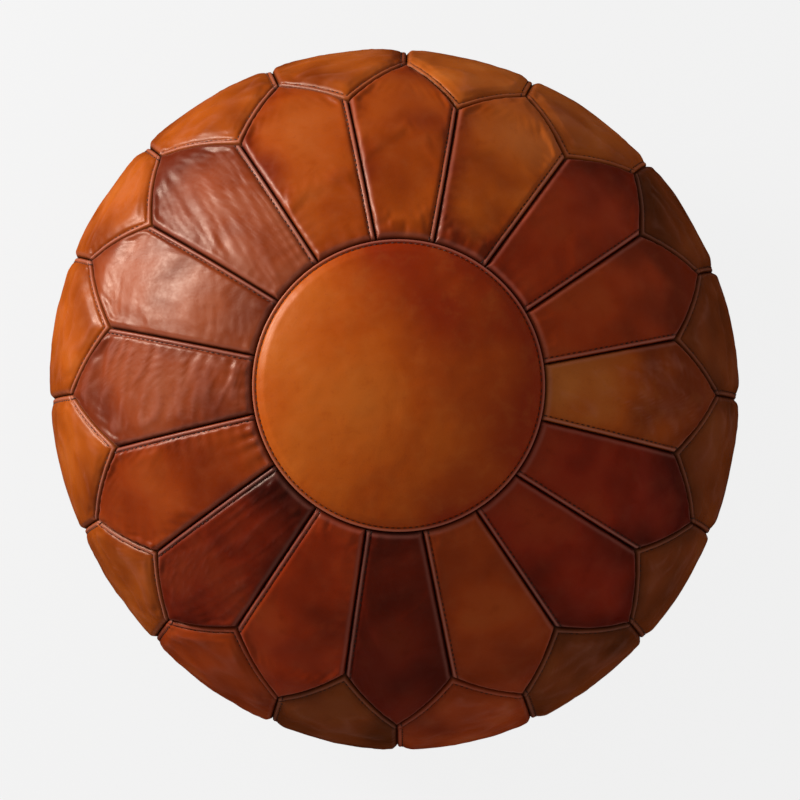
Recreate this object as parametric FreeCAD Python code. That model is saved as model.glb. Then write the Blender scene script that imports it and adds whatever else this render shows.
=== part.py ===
"""Moroccan leather pouf, sewn from hide panels and closed underneath by a zip.

Units are millimetres and degrees. +Z is up, and the origin is on the floor under the middle.
Bearings run anticlockwise from +X, seen from above. The cover is a shell of revolution that
is cut along its seams by planes through one inner point, the hub, so every seam runs square
through the leather. Each panel, thread group, zip part and the stuffing is a node of its own.
"""
import FreeCAD
import Part

import math
import os

Vector = FreeCAD.Vector

# Overall shape of the stuffed cover
EQUATOR_R = 270.0
EQUATOR_Z = 150.0
TOTAL_HEIGHT = 330.0
FOOT_R = 140.0  # edge of the flat that rests on the floor
LEATHER_T = 2.0
STUFFING_GAP = 0.5
STUFFING_BASE_Z = 5.0  # the wadding's underside, clear of the zip channel's mouth

# Sewing pattern: a sixteen-fold star, one petal between each pair of seams and one side
# panel below each junction. It is sewn a little off the middle, and cut by hand, so each
# ring of corners sways round its circle and each corner wanders a little.
PANELS = 16
PITCH_DEG = 360 / PANELS
DISC_R = 108.5
DISC_CENTRE = Vector(3.5, -2.0, 0.0)
SEAM_START_DEG = 9.2
SEAM_START_SWAY = 1.6  # degrees, most at the bearing below
SEAM_START_SWAY_AT = 195.0
JUNCTION_DEG = 10.6
TIP_DEG = 22.0
RING_SWAY = 1.7
RING_SWAY_AT = 235.0
CUT_WANDER_DEG = 0.7
CUT_WANDER_R = 2.2
WANDER_STEP = 2.4  # radians from one corner's wander to the next
JUNCTION_R = 218.0
TIP_R = 250.5
LOW_JUNCTION_R = 214.0
LOW_TIP_R = 254.0
BOTTOM_DISC_R = 110.0

# Seams: the panel edges stand a little apart and the thread runs between them
SEAM_GAP = 1.2
THREAD_R = 0.45
THREAD_END_GAP = 1.6

# Zip under the base, along Y, in a channel between two turned-up hems
CHANNEL_HALF_W = 7.0
HEM_TOP_Z = 8.0
TAPE_T = 0.8
TAPE_INNER_X = 2.6
TAPE_OUTER_X = 16.0
TAPE_HALF_LENGTH = 100.0
CHAIN_Z = HEM_TOP_Z + TAPE_T / 2
TOOTH_T = 2.4
TOOTH_WIDTH = 1.7
TOOTH_PITCH = 4.0
TOOTH_REACH = 1.5  # how far a tooth crosses the centre line
TOOTH_BEVEL = 0.35
CHAIN_START_Y = -86.0
CHAIN_END_Y = 83.0
SLIDER_Y = 80.0
SLIDER_LENGTH = 12.0
SLIDER_HALF_W = 4.5
SLIDER_PLATE_T = 1.2
SLIDER_MOUTH = 3.0
SLIDER_FLANGE_X = 3.3
SLIDER_FLANGE_H = 0.9
SLIDER_CORNER_R = 1.6
POST_HALF_W = 1.1
POST_START_Y = 4.3
POST_END_Y = 5.7
ARCH_HALF_LENGTH = 3.0
ARCH_HALF_W = 1.1
ARCH_LEG = 1.0
ARCH_DROP = 3.1
ARCH_T = 1.0
PIVOT_DROP = 1.3  # pull's pivot below the slider's outer plate
PIVOT_BAR_R = 0.6
PULL_LENGTH = 24.0
PULL_HALF_W = 3.3
PULL_CORNER_R = 2.64
PULL_T = 1.4
PULL_ARM_X = 1.6
PULL_WINDOW_END = 4.0
PULL_HOLE_R = 1.3
STOP_LENGTH = 2.6
STOP_T = 2.8
STOP_CLEARANCE = 0.5
STOP_OVERLAP = 2.0  # how far a top stop reaches in over the chain
WELL_HALF_W = 17.0  # hollow in the stuffing over the zip
WELL_HALF_LENGTH = 111.0
WELL_TOP_Z = 13.0

HUB = Vector(0, 0, EQUATOR_Z)
DOME_HEIGHT = TOTAL_HEIGHT - EQUATOR_Z
ROOT_BEVEL_FRACTION = 0.3  # how far petal cutters reach in under the disc
TOUCH = 1e-6


def polar(radius, bearing, z, centre=Vector(0, 0, 0)):
    """A point at a radius and bearing from a vertical axis through centre."""
    angle = math.radians(bearing)
    return Vector(centre.x + radius * math.cos(angle), centre.y + radius * math.sin(angle), z)


def dome_z(radius):
    """Height of the outer surface above the equator."""
    return EQUATOR_Z + DOME_HEIGHT * math.sqrt(1 - (radius / EQUATOR_R) ** 2)


def belly_z(radius):
    """Height of the outer surface below the equator."""
    share = max(0.0, (radius - FOOT_R) / (EQUATOR_R - FOOT_R))
    return EQUATOR_Z * (1 - math.sqrt(1 - share**2))


def on_dome(radius, bearing, centre=Vector(0, 0, 0)):
    point = polar(radius, bearing, 0, centre)
    point.z = dome_z(math.hypot(point.x, point.y))
    return point


def on_belly(radius, bearing):
    return polar(radius, bearing, belly_z(radius))


def box(x0, x1, y0, y1, z0, z1):
    return Part.makeBox(x1 - x0, y1 - y0, z1 - z0, Vector(x0, y0, z0))


def edges_at(solid, axis, value):
    """The straight edges of a solid that lie wholly at this value along an axis."""
    return [
        edge
        for edge in solid.Edges
        if all(abs(getattr(v, axis) - value) < TOUCH for v in edge.Vertexes)
    ]


def runs_along(edge, axis):
    first, last = (getattr(v, axis) for v in (edge.Vertexes[0], edge.Vertexes[-1]))
    return abs(last - first) > TOUCH


def rounded_body(inset):
    """The pouf as a solid of revolution, this far inside the leather's outer face.

    The dome's arc is a spline that ends exactly on the axis, so the top closes in one point.
    """
    side = Vector(EQUATOR_R - inset, 0, EQUATOR_Z)
    top = Vector(0, 0, TOTAL_HEIGHT - inset)
    foot = Vector(FOOT_R, 0, inset)
    dome = Part.Ellipse(side, top, HUB)
    belly = Part.Ellipse(foot, side, Vector(FOOT_R, 0, EQUATOR_Z))
    quarter = math.pi / 2
    edges = [
        Part.ArcOfEllipse(dome, 0, quarter).toBSpline().toShape(),
        Part.LineSegment(top, Vector(0, 0, inset)).toShape(),
        Part.LineSegment(Vector(0, 0, inset), foot).toShape(),
        Part.ArcOfEllipse(belly, 0, quarter).toShape(),
    ]
    outline = Part.Face(Part.Wire(Part.__sortEdges__(edges)))
    return outline.revolve(Vector(0, 0, 0), Vector(0, 0, 1), 360)


def inset_corners(corners, distance):
    """The corners of a panel, moved inwards so that each edge moves in by distance."""
    rays = [corner - HUB for corner in corners]
    middle = sum(rays, Vector(0, 0, 0))
    normals = []
    for i, ray in enumerate(rays):
        normal = ray.cross(rays[(i + 1) % len(rays)]).normalize()
        normals.append(normal if normal.dot(middle) > 0 else normal * -1)
    moved = []
    for i, ray in enumerate(rays):
        before, after = normals[i - 1], normals[i]
        step = (before + after) * (distance / (1 + before.dot(after)))
        moved.append(corners[i] + step - ray * (step.dot(ray) / ray.dot(ray)))
    return moved


def seam_cutter(corners):
    """A pyramid from the hub through a panel's corners, reaching past the cover."""
    rays = [(corner - HUB).normalize() for corner in corners]
    middle = sum(rays, Vector(0, 0, 0)).normalize()
    base = [HUB + ray * (2 * EQUATOR_R / ray.dot(middle)) for ray in rays]
    faces = [Part.Face(Part.makePolygon(base + base[:1]))]
    for i, point in enumerate(base):
        side = [HUB, point, base[(i + 1) % len(base)], HUB]
        faces.append(Part.Face(Part.makePolygon(side)))
    solid = Part.Solid(Part.Shell(faces))
    return solid if solid.Volume > 0 else solid.reversed()


def tooth(y, side):
    """One zip tooth, crimped on the edge of the tape on that side."""
    outer = side * TAPE_INNER_X
    inner = -side * TOOTH_REACH
    solid = box(
        min(outer, inner),
        max(outer, inner),
        y - TOOTH_WIDTH / 2,
        y + TOOTH_WIDTH / 2,
        CHAIN_Z - TOOTH_T / 2,
        CHAIN_Z + TOOTH_T / 2,
    )
    return solid.makeChamfer(TOOTH_BEVEL, edges_at(solid, "X", inner))


def zip_teeth(side):
    first = CHAIN_START_Y + (0 if side > 0 else TOOTH_PITCH / 2)
    count = int((CHAIN_END_Y - first) / TOOTH_PITCH) + 1
    return Part.Compound([tooth(first + i * TOOTH_PITCH, side) for i in range(count)])


def zip_tape(side):
    inner, outer = sorted((side * TAPE_INNER_X, side * TAPE_OUTER_X))
    z = HEM_TOP_Z
    return box(inner, outer, -TAPE_HALF_LENGTH, TAPE_HALF_LENGTH, z, z + TAPE_T)


def zip_slider():
    """Two plates joined by a post, with side flanges and an arch that holds the pull."""
    y0, y1 = SLIDER_Y - SLIDER_LENGTH / 2, SLIDER_Y + SLIDER_LENGTH / 2
    w, mouth = SLIDER_HALF_W, SLIDER_MOUTH / 2
    plate_low = CHAIN_Z - mouth - SLIDER_PLATE_T
    parts = []
    for sign in (-1, 1):
        face_z = CHAIN_Z + sign * mouth
        z0, z1 = sorted((face_z, face_z + sign * SLIDER_PLATE_T))
        plate = box(-w, w, y0, y1, z0, z1)
        upright = [edge for edge in plate.Edges if runs_along(edge, "Z")]
        parts.append(plate.makeFillet(SLIDER_CORNER_R, upright))
        z0, z1 = sorted((face_z, face_z - sign * SLIDER_FLANGE_H))
        for side in (-1, 1):
            x0, x1 = sorted((side * SLIDER_FLANGE_X, side * w))
            run = SLIDER_CORNER_R
            parts.append(box(x0, x1, y0 + run, y1 - run, z0, z1))
    post = box(
        -POST_HALF_W,
        POST_HALF_W,
        SLIDER_Y + POST_START_Y,
        SLIDER_Y + POST_END_Y,
        CHAIN_Z - mouth,
        CHAIN_Z + mouth,
    )
    arch = box(
        -ARCH_HALF_W,
        ARCH_HALF_W,
        SLIDER_Y - ARCH_HALF_LENGTH,
        SLIDER_Y + ARCH_HALF_LENGTH,
        plate_low - ARCH_DROP,
        plate_low,
    )
    outer_edges = edges_at(arch, "Z", plate_low - ARCH_DROP)
    corners = [edge for edge in outer_edges if runs_along(edge, "X")]
    arch = arch.makeFillet(ARCH_T, corners)
    eye = box(
        -w,
        w,
        SLIDER_Y - ARCH_HALF_LENGTH + ARCH_LEG,
        SLIDER_Y + ARCH_HALF_LENGTH - ARCH_LEG,
        plate_low - ARCH_DROP + ARCH_T,
        plate_low,
    )
    body = parts[0].fuse([*parts[1:], post, arch.cut(eye)])
    return body.removeSplitter()


def pull_pivot():
    return Vector(0, SLIDER_Y, CHAIN_Z - SLIDER_MOUTH / 2 - SLIDER_PLATE_T - PIVOT_DROP)


def zip_pull():
    """A flat tab whose round bar turns in the slider's arch, lying back along the chain."""
    pivot = pull_pivot()
    tip_y = pivot.y - PULL_LENGTH
    z0, z1 = pivot.z - PULL_T / 2, pivot.z + PULL_T / 2
    tab = box(-PULL_HALF_W, PULL_HALF_W, tip_y, pivot.y, z0, z1)
    tip = [edge for edge in edges_at(tab, "Y", tip_y) if runs_along(edge, "Z")]
    tab = tab.makeFillet(PULL_CORNER_R, tip)
    window = box(-PULL_ARM_X, PULL_ARM_X, pivot.y - PULL_WINDOW_END, pivot.y + 1, z0, z1)
    hole_at = Vector(0, tip_y + PULL_HALF_W, z0)
    hole = Part.makeCylinder(PULL_HOLE_R, PULL_T, hole_at)
    along_x = Vector(1, 0, 0)
    start = Vector(-PULL_HALF_W, pivot.y, pivot.z)
    bar = Part.makeCylinder(PIVOT_BAR_R, 2 * PULL_HALF_W, start, along_x)
    ends = Part.makeCylinder(PULL_T / 2, 2 * PULL_HALF_W, start, along_x)
    middle = box(-PULL_ARM_X, PULL_ARM_X, pivot.y - 2, pivot.y + 2, z0 - 1, z1 + 1)
    tab = tab.cut([window, hole]).fuse([ends.cut(middle), bar])
    return tab.removeSplitter()


def zip_stops():
    """Two top stops past the closed end, and one bottom stop across the chain."""
    z0, z1 = CHAIN_Z - STOP_T / 2, CHAIN_Z + STOP_T / 2
    top_y = SLIDER_Y + SLIDER_LENGTH / 2 + STOP_CLEARANCE
    low_y = CHAIN_START_Y - TOOTH_WIDTH / 2 - STOP_CLEARANCE
    inner, outer = TAPE_INNER_X - STOP_OVERLAP, TAPE_INNER_X
    return Part.Compound(
        [
            box(inner, outer, top_y, top_y + STOP_LENGTH, z0, z1),
            box(-outer, -inner, top_y, top_y + STOP_LENGTH, z0, z1),
            box(-outer, outer, low_y - STOP_LENGTH, low_y, z0, z1),
        ]
    )


def bottom_disc_half(side):
    """Half of the round base, with the hem turned up beside the zip."""
    radius = BOTTOM_DISC_R - SEAM_GAP / 2
    plate = Part.makeCylinder(radius, LEATHER_T)
    x0, x1 = sorted((side * CHANNEL_HALF_W, side * (radius + 1)))
    plate = plate.common(box(x0, x1, -radius, radius, 0, LEATHER_T))
    x0, x1 = sorted((side * CHANNEL_HALF_W, side * (CHANNEL_HALF_W + LEATHER_T)))
    half = math.sqrt(radius**2 - (CHANNEL_HALF_W + LEATHER_T) ** 2)
    hem = box(x0, x1, -half, half, 0, HEM_TOP_Z)
    return plate.fuse(hem).removeSplitter()


def thread_along(start, middle, end):
    """A round thread on the arc through three points, stopped short of both ends."""
    arc = Part.Arc(start, middle, end).toShape()
    circle = arc.Curve
    first, last = arc.ParameterRange
    trim = THREAD_END_GAP / circle.Radius
    along = circle.tangent(first + trim)[0]
    section = Part.Circle(circle.value(first + trim), along, THREAD_R)
    face = Part.Face(Part.Wire(section.toShape()))
    turn = math.degrees(last - first - 2 * trim)
    return face.revolve(circle.Center, circle.Axis, turn)


def sunk(point):
    """The same place at mid-leather, measured towards the hub."""
    ray = point - HUB
    return HUB + ray * (1 - LEATHER_T / 2 / ray.Length)


def dome_thread(start, end):
    """Thread along a seam of the dome, between two points on its outer face."""
    ray = (start + end) * 0.5 - HUB
    flat = math.hypot(ray.x, ray.y)
    stretch = 1 / math.hypot(flat / EQUATOR_R, ray.z / DOME_HEIGHT)
    return thread_along(sunk(start), sunk(HUB + ray * stretch), sunk(end))


def belly_thread(start, end):
    """Thread along a seam of the belly, between two points on its outer face."""
    ray = (start + end) * 0.5 - HUB
    flat, width = math.hypot(ray.x, ray.y), EQUATOR_R - FOOT_R
    a = (flat / width) ** 2 + (ray.z / EQUATOR_Z) ** 2
    b = -2 * flat * FOOT_R / width**2
    c = (FOOT_R / width) ** 2 - 1
    stretch = (math.sqrt(b * b - 4 * a * c) - b) / (2 * a)
    return thread_along(sunk(start), sunk(HUB + ray * stretch), sunk(end))


def straight_thread(start, end):
    """A round thread between two points on the base, stopped short of both ends."""
    first, last = sunk(start), sunk(end)
    run = last - first
    along = Vector(run).normalize()
    trimmed = run.Length - 2 * THREAD_END_GAP
    return Part.makeCylinder(THREAD_R, trimmed, first + along * THREAD_END_GAP, along)


def ring_thread(points):
    """Thread round the circle through three points."""
    circle = Part.Arc(*points).toShape().Curve
    return Part.makeTorus(circle.Radius, THREAD_R, circle.Center, circle.Axis)


def seam_thread(points):
    """Every thread of the cover: two rings, and one length along each straight seam."""
    thirds = (0, 120, 240)
    half = Vector(0, 0, LEATHER_T / 2)
    threads = [
        ring_thread([on_dome(DISC_R, bearing, DISC_CENTRE) - half for bearing in thirds]),
        ring_thread([polar(BOTTOM_DISC_R, bearing, LEATHER_T / 2) for bearing in thirds]),
    ]
    for i in range(PANELS):
        start, junction, tip = points["start"][i], points["junction"][i], points["tip"][i]
        low_start, low_junction = points["low_start"][i], points["low_junction"][i]
        low_tip = points["low_tip"][i]
        next_i = (i + 1) % PANELS
        side_middle = polar(EQUATOR_R, ring_bearing(TIP_DEG, i), EQUATOR_Z)
        foot = polar(FOOT_R, ring_bearing(JUNCTION_DEG, i), 0)
        threads += [
            dome_thread(start, junction),
            dome_thread(junction, tip),
            dome_thread(tip, points["junction"][next_i]),
            thread_along(sunk(tip), sunk(side_middle), sunk(low_tip)),
            belly_thread(low_junction, low_tip),
            belly_thread(low_tip, points["low_junction"][next_i]),
            straight_thread(low_start, foot),
            belly_thread(foot, low_junction),
        ]
    return threads


def sway(bearing, size, peak):
    return size * math.cos(math.radians(bearing - peak))


def wander(index, size):
    """A small uneven step from one corner to the next, as a hand-cut panel has."""
    return size * math.sin(WANDER_STEP * index)


def seam_bearing(index):
    """Where a radial seam leaves the top disc, round the disc's own middle."""
    bearing = SEAM_START_DEG + index * PITCH_DEG
    bearing += sway(bearing, SEAM_START_SWAY, SEAM_START_SWAY_AT)
    return bearing + wander(index + 1, CUT_WANDER_DEG)


def ring_bearing(first, index):
    """Bearing of a corner in the ring of junctions or the ring of petal tips."""
    bearing = first + index * PITCH_DEG
    bearing += sway(bearing, RING_SWAY, RING_SWAY_AT)
    return bearing + wander(first + index, CUT_WANDER_DEG)


def pattern_points():
    """The corners of the seam network on the outer face, by kind."""
    points = {
        "start": [],
        "junction": [],
        "tip": [],
        "low_start": [],
        "low_junction": [],
        "low_tip": [],
    }
    for i in range(PANELS):
        junction, tip = ring_bearing(JUNCTION_DEG, i), ring_bearing(TIP_DEG, i)
        junction_r = JUNCTION_R + wander(i + 2, CUT_WANDER_R)
        tip_r = TIP_R + wander(i + 3, CUT_WANDER_R)
        points["start"].append(on_dome(DISC_R, seam_bearing(i), DISC_CENTRE))
        points["junction"].append(on_dome(junction_r, junction))
        points["tip"].append(on_dome(tip_r, tip))
        points["low_start"].append(on_belly(BOTTOM_DISC_R, junction))
        points["low_junction"].append(on_belly(LOW_JUNCTION_R, junction))
        points["low_tip"].append(on_belly(LOW_TIP_R, tip))
    return points


def panel(cover, corners):
    return cover.common(seam_cutter(inset_corners(corners, SEAM_GAP / 2)))


def petal(cover, start, junction, tip, disc_cutter):
    """A petal of either ring, from the disc out to its tip."""
    roots = [s + (s - j) * ROOT_BEVEL_FRACTION for s, j in zip(start, junction)]
    corners = [roots[0], junction[0], tip, junction[1], roots[1]]
    return panel(cover, corners).cut(disc_cutter)


def build():
    cover = rounded_body(0).cut(rounded_body(LEATHER_T))
    well = box(
        -WELL_HALF_W, WELL_HALF_W, -WELL_HALF_LENGTH, WELL_HALF_LENGTH, 0, WELL_TOP_Z
    )
    reach = EQUATOR_R
    under_stuffing = box(-reach, reach, -reach, reach, 0, STUFFING_BASE_Z)
    points = pattern_points()
    high = TOTAL_HEIGHT
    disc_inner = Part.makeCylinder(DISC_R - SEAM_GAP / 2, high, DISC_CENTRE + HUB)
    disc_outer = Part.makeCylinder(DISC_R + SEAM_GAP / 2, high, DISC_CENTRE + HUB)
    base_outer = Part.makeCylinder(BOTTOM_DISC_R + SEAM_GAP / 2, EQUATOR_Z)
    nodes = {
        "top_disc": cover.common(disc_inner),
        "bottom_disc_left": bottom_disc_half(-1),
        "bottom_disc_right": bottom_disc_half(1),
        "zip_tape_left": zip_tape(-1),
        "zip_tape_right": zip_tape(1),
        "zip_teeth_left": zip_teeth(-1),
        "zip_teeth_right": zip_teeth(1),
        "zip_slider": zip_slider(),
        "zip_pull": zip_pull(),
        "zip_stops": zip_stops(),
        "stuffing": rounded_body(LEATHER_T + STUFFING_GAP).cut([well, under_stuffing]),
    }
    for i in range(PANELS):
        pair = (i, (i + 1) % PANELS)
        number = f"{i + 1:02d}"
        nodes[f"top_petal_{number}"] = petal(
            cover,
            [points["start"][k] for k in pair],
            [points["junction"][k] for k in pair],
            points["tip"][i],
            disc_outer,
        )
        nodes[f"bottom_petal_{number}"] = petal(
            cover,
            [points["low_start"][k] for k in pair],
            [points["low_junction"][k] for k in pair],
            points["low_tip"][i],
            base_outer,
        )
        corners = [
            points["junction"][i],
            points["tip"][i - 1],
            points["low_tip"][i - 1],
            points["low_junction"][i],
            points["low_tip"][i],
            points["tip"][i],
        ]
        nodes[f"side_panel_{number}"] = panel(cover, corners)
    nodes["seam_thread"] = Part.Compound(seam_thread(points))
    return nodes


def save(nodes):
    os.makedirs("parts", exist_ok=True)
    for name, shape in nodes.items():
        shape.exportStep(os.path.join("parts", name + ".step"))


save(build())
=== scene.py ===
"""Looks of a stuffed leather pouf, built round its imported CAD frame.

Units are metres, +Z is up, and bearings run anticlockwise from +X, seen from above. Every
hide panel is a grid of rays from the hub, an inner point of the stuffing. The rays meet the
cover's base surface, a cloth simulation puffs the panel out between its seams, and relief in
mesh code adds the rolled edges, topstitched ridges, puckers and creases.
"""

import math
from functools import cache

import bmesh
import bpy
import numpy as np
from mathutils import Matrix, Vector, kdtree, noise


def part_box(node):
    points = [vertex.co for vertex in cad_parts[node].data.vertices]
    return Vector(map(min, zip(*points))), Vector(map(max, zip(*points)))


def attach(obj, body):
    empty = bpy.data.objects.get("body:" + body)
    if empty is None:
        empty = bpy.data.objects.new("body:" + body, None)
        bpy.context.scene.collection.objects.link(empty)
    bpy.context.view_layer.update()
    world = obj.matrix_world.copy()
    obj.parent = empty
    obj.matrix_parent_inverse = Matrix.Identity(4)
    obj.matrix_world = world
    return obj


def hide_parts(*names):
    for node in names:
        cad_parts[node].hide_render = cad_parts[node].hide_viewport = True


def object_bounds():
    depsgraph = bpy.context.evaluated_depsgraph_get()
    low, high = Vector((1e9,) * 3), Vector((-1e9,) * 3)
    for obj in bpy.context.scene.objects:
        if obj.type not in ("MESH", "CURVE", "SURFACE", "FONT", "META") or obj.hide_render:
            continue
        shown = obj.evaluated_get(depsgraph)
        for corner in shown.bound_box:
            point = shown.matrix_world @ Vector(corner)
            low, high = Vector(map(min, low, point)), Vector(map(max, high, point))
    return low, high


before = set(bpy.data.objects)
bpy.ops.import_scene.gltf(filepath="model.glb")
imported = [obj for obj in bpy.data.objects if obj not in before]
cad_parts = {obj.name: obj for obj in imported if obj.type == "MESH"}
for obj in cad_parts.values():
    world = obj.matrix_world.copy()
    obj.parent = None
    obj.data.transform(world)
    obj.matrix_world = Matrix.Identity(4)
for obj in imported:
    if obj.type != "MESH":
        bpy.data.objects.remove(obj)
cad_low, cad_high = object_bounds()

PANELS = 16
EQUATOR_Z = 0.150
FOOT_R = 0.140
HUB = np.array([0.0, 0.0, EQUATOR_Z])
EQUATOR_R = (cad_high.x - cad_low.x) / 2
DOME_HEIGHT = cad_high.z - EQUATOR_Z
SEAM_SINK = 0.0035  # seams lie this far inside the CAD's surface, and the panels puff past it
BASE_SCALE = 1 - SEAM_SINK / EQUATOR_R
SKIN = 0.0016  # thickness of the hide at a panel's face
HALF_CUT = 0.0006  # from the edge of a CAD panel to the middle of its seam

# The stuffed cover isn't quite round: it is stretched along one bearing and faintly
# three-sided, which fades out towards the top and the base
OVAL = (0.0135, 114)
TRIANGLE = (0.008, 30)

# Edge relief
SEAM_DEPTH = 0.0042
EDGE_ROLL_W = 0.0048
RIDGE_W = 0.0041  # from the seam to the stitched groove, with a rounded welt between them
WELT_MIDDLE = 0.0022
WELT_HALF_W = 0.0018
WELT_DROP = 0.0004
GROOVE_DEPTH = 0.0023
SHOULDER_W = 0.0032
STITCH_GROOVE_W = 0.0008
STITCH_GROOVE_DEPTH = 0.0015
PUCKER_PITCH = 0.0092
SEAM_LEAN_W = 0.003  # within this of a seam, relief follows the rays, so that panels meet
SIDE_SEAM_SHARE = 0.5  # the upright seams between side panels are this much shallower

# Grids
FINE_CELL = {"top_petal": 0.0014, "side_panel": 0.0020, "bottom_petal": 0.0024}
DISC_SPOKES = 420
DISC_RINGS = 80
CROWD = 0.78  # how strongly a grid's steps crowd towards the seams

# Cloth
SIM_FRAMES = 18
SIM_CELL = 0.0048
SIM_CAP = 0.013  # the furthest that a panel puffs out


# ---------------------------------------------------------------- the cover's base surface


def unit(v):
    return v / np.linalg.norm(v, axis=-1, keepdims=True)


def on_cover(rays):
    """Where rays from the hub meet the cover's smooth base surface, relative to the hub."""
    flat = np.hypot(rays[..., 0], rays[..., 1])
    rise = rays[..., 2]
    dome = 1 / np.sqrt((flat / EQUATOR_R) ** 2 + (rise / DOME_HEIGHT) ** 2)
    belly_w = EQUATOR_R - FOOT_R
    a = (flat / belly_w) ** 2 + (rise / EQUATOR_Z) ** 2
    b = -2 * flat * FOOT_R / belly_w**2
    c = (FOOT_R / belly_w) ** 2 - 1
    belly = (-b + np.sqrt(np.maximum(b * b - 4 * a * c, 0))) / (2 * a)
    base = EQUATOR_Z / np.maximum(-rise, 1e-9)
    below = np.where(base * flat <= FOOT_R, base, belly)
    return rays * np.where(rise >= 0, dome, below)[..., None]


def smooth(low, high, x):
    t = np.clip((x - low) / (high - low), 0, 1)
    return t * t * (3 - 2 * t)


def out_of_round(points):
    """Stretches points, relative to the hub, into the cover's slightly uneven outline."""
    bearing = np.degrees(np.arctan2(points[..., 1], points[..., 0]))
    reach = smooth(0.5 * EQUATOR_R, EQUATOR_R, np.hypot(points[..., 0], points[..., 1]))
    stretch = OVAL[0] * np.cos(np.radians(2 * (bearing - OVAL[1])))
    stretch += TRIANGLE[0] * np.cos(np.radians(3 * (bearing - TRIANGLE[1])))
    factor = 1 + reach * stretch
    return points * np.stack([factor, factor, np.ones_like(factor)], -1)


# ---------------------------------------------------------------- corners from the CAD


@cache
def vertex_tree(node):
    """A CAD panel's vertices, and a tree that finds the nearest of them to a place."""
    points = [v.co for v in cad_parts[node].data.vertices]
    tree = kdtree.KDTree(len(points))
    for i, point in enumerate(points):
        tree.insert(point, i)
    tree.balance()
    return points, tree


def meeting_ray(*nodes):
    """Direction from the hub to the place where the corners of three panels meet."""
    others = [vertex_tree(node)[1] for node in nodes[1:]]
    points = vertex_tree(nodes[0])[0]
    best = min(points, key=lambda point: sum(tree.find(point)[2] for tree in others))
    spot = best.copy()
    for tree in others:
        spot += tree.find(best)[0]
    return unit(np.array(spot / len(nodes)) - HUB)


def numbered(kind, index):
    return f"{kind}_{index % PANELS + 1:02d}"


def corner_rays():
    """Rays to every corner of the seam network, by kind."""
    rays = {"start": [], "junction": [], "tip": []}
    rays |= {"low_start": [], "low_junction": [], "low_tip": []}
    for i in range(PANELS):
        side, next_side = numbered("side_panel", i), numbered("side_panel", i + 1)
        for low, petals, disc in (("", "top_petal", "top_disc"), ("low_", "bottom_petal", "")):
            here, before = numbered(petals, i), numbered(petals, i - 1)
            half = numbered("bottom_petal", i)
            disc = disc or nearest_half(half)
            rays[low + "start"].append(meeting_ray(here, before, disc))
            rays[low + "junction"].append(meeting_ray(here, before, side))
            rays[low + "tip"].append(meeting_ray(here, side, next_side))
    rays = {kind: np.array(found) for kind, found in rays.items()}
    rays["start"] = on_rim(rays["start"], *rim_of("top_disc"), True)
    rays["low_start"] = on_rim(rays["low_start"], *base_rim(), False)
    return rays


def on_rim(rays, centre, radius, top):
    """Rays moved onto the edge seam of a round panel, at their own bearings."""
    spots = on_cover(rays)
    bearing = np.arctan2(spots[:, 1] - centre.y, spots[:, 0] - centre.x)
    return unit(rim_point(bearing, centre, radius, top))


def nearest_half(petal):
    low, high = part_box(petal)
    return "bottom_disc_right" if low.x + high.x > 0 else "bottom_disc_left"


# ---------------------------------------------------------------- panels as grids of rays


def slerp(a, b, t):
    angle = math.acos(float(np.clip(a @ b, -1, 1)))
    t = t[:, None]
    return (np.sin((1 - t) * angle) * a + np.sin(t * angle) * b) / math.sin(angle)


def seam(a, b):
    return lambda t: slerp(a, b, t)


def bent_seam(a, middle, b):
    """Two straight seams that meet at middle, halfway along."""

    def curve(t):
        first = slerp(a, middle, np.clip(2 * t, 0, 1))
        second = slerp(middle, b, np.clip(2 * t - 1, 0, 1))
        return np.where((t < 0.5)[:, None], first, second)

    return curve


def rim_of(node):
    """Centre and radius of a round panel's edge seam, seen from above."""
    low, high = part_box(node)
    return (low + high) / 2, (high.x - low.x) / 2 + HALF_CUT


def rim_point(bearing, centre, radius, top):
    x = centre.x + radius * np.cos(bearing)
    y = centre.y + radius * np.sin(bearing)
    if top:
        z = DOME_HEIGHT * np.sqrt(1 - (x * x + y * y) / EQUATOR_R**2)
    else:
        z = np.full_like(x, -EQUATOR_Z)
    return np.stack([x, y, z], -1)


def rim_seam(a, b, centre, radius, top):
    """The stretch of a round panel's edge between two rays."""

    def bearing(ray):
        spot = on_cover(ray)
        return math.atan2(spot[1] - centre.y, spot[0] - centre.x)

    first = bearing(a)
    turn = (bearing(b) - first) % (2 * math.pi)
    return lambda t: unit(rim_point(first + turn * t, centre, radius, top))


def spread_rays(sides, u, v):
    """A Coons patch of rays between bottom, top, left and right side curves."""
    bottom, top = (on_cover(side(u))[:, None] for side in sides[:2])
    left, right = (on_cover(side(v))[None] for side in sides[2:])
    u, v = u[:, None, None], v[None, :, None]
    ruled = (1 - v) * bottom + v * top + (1 - u) * left + u * right
    corners = (1 - u) * (1 - v) * bottom[0] + u * (1 - v) * bottom[-1]
    corners = corners + (1 - u) * v * top[0] + u * v * top[-1]
    return unit(ruled - corners)


def spaced(count):
    """Grid steps from 0 to 1, crowded towards both ends."""
    t = np.linspace(0, 1, count + 1)
    return t - CROWD * np.sin(2 * math.pi * t) / (2 * math.pi)


class Panel:
    """One hide panel: its side curves, and which of them carry a topstitched ridge."""

    def __init__(self, node, sides, ridges, size):
        self.node = node
        self.sides = sides  # bottom, top, left, right
        self.ridges = ridges
        self.size = size  # about how wide and how long, in metres

    def counts(self, cell):
        """How many cells of about this size fit across it and along it, in even numbers."""
        return [max(8, 2 * round(length / cell / 2)) for length in self.size]


PETAL_SIZE = (0.082, 0.12)
SIDE_SIZE = (0.105, 0.21)


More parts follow.
